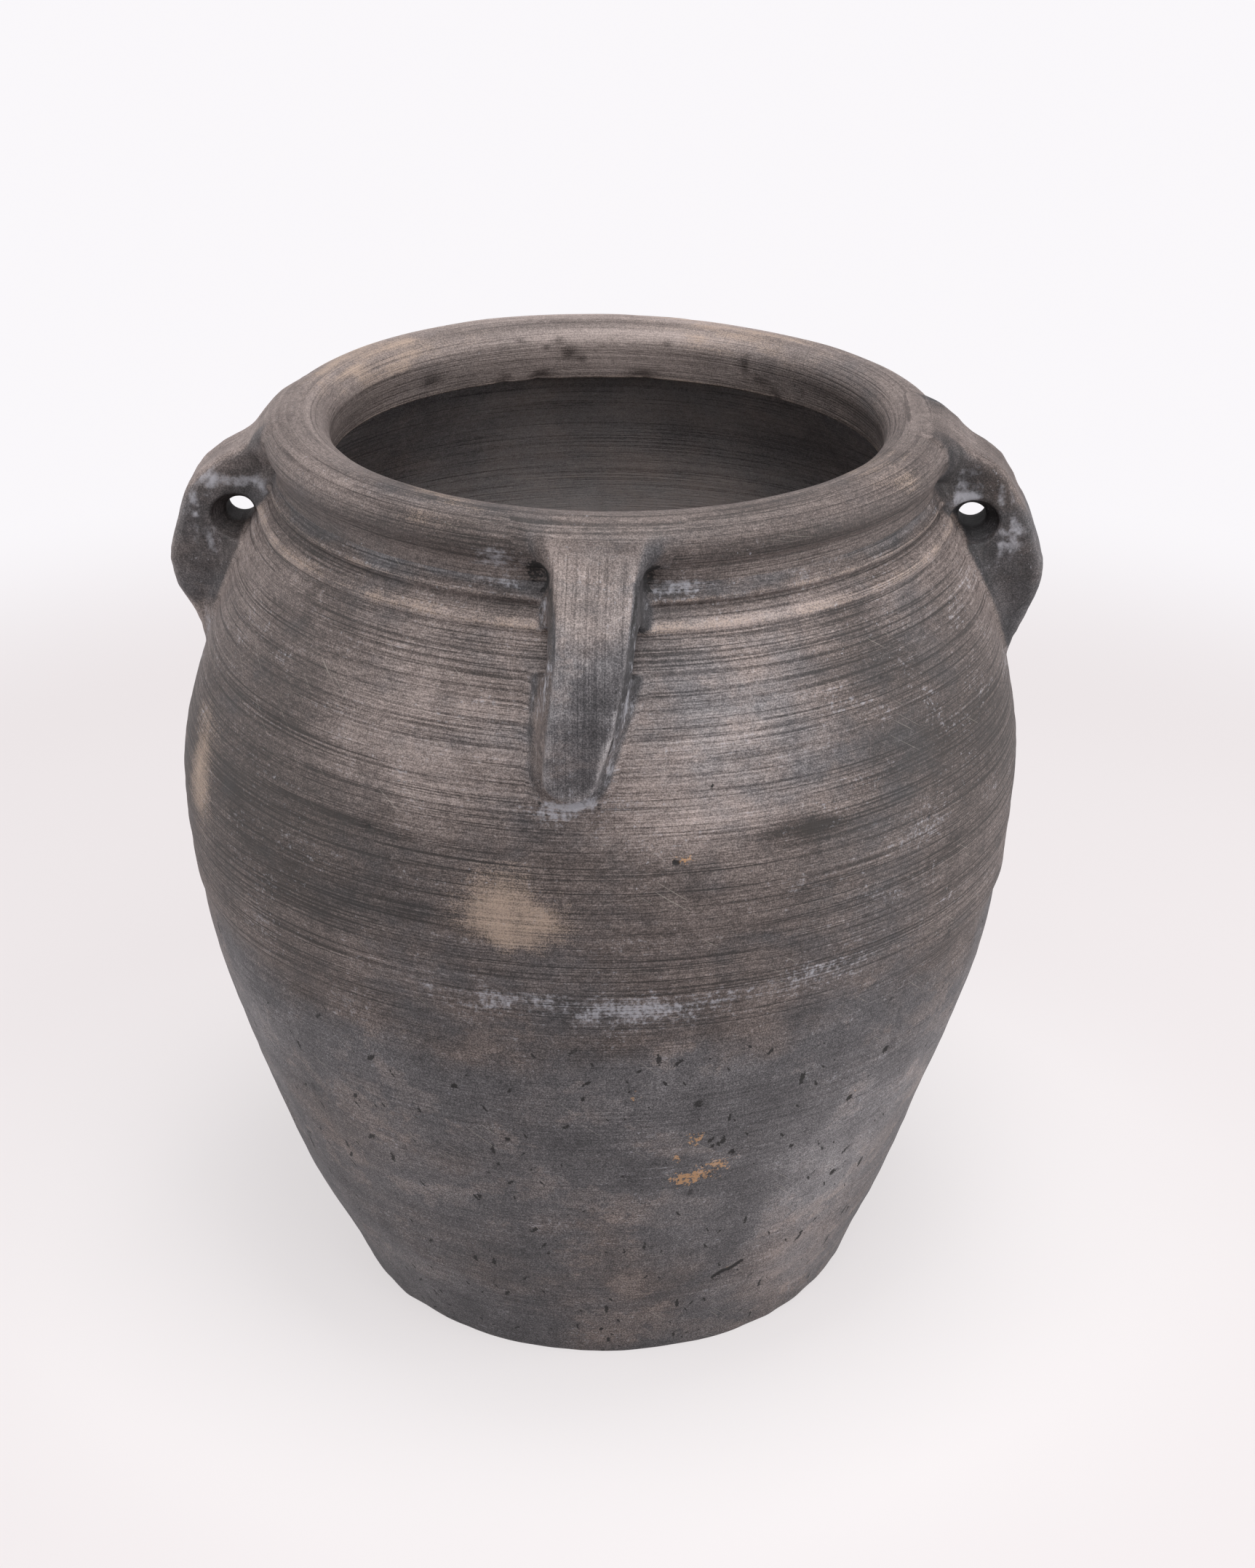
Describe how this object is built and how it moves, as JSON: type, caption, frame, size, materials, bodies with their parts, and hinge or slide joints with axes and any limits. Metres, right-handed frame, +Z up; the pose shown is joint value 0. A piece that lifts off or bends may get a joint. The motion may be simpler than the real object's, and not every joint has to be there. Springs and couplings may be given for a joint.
{
  "type": "garden planter",
  "caption": "Round-bellied smoked clay storage jar with a rolled rim, raised shoulder ridges and pierced strap lugs, used as a garden planter.",
  "frame": {"origin": "on the floor under the jar's axis", "axes": "+Z up along the jar's axis; the front lug faces -Y and the right lug +X"},
  "size_m": [0.3568, 0.3568, 0.38],
  "materials": {
    "body_clay": "matt unglazed smoked clay, brown-grey with throwing lines",
    "floor_clay": "matt unglazed smoked clay, dark grey",
    "lug_clay": "matt unglazed smoked clay, hand pressed, with pale bloom"
  },
  "bodies": {
    "root": {"floor_disc": "floor_clay", "lower_wall": "body_clay", "upper_wall": "body_clay", "rim_roll": "body_clay", "lug_front": "lug_clay", "lug_right": "lug_clay", "lug_back": "lug_clay", "lug_left": "lug_clay"}
  },
  "joints": []
}
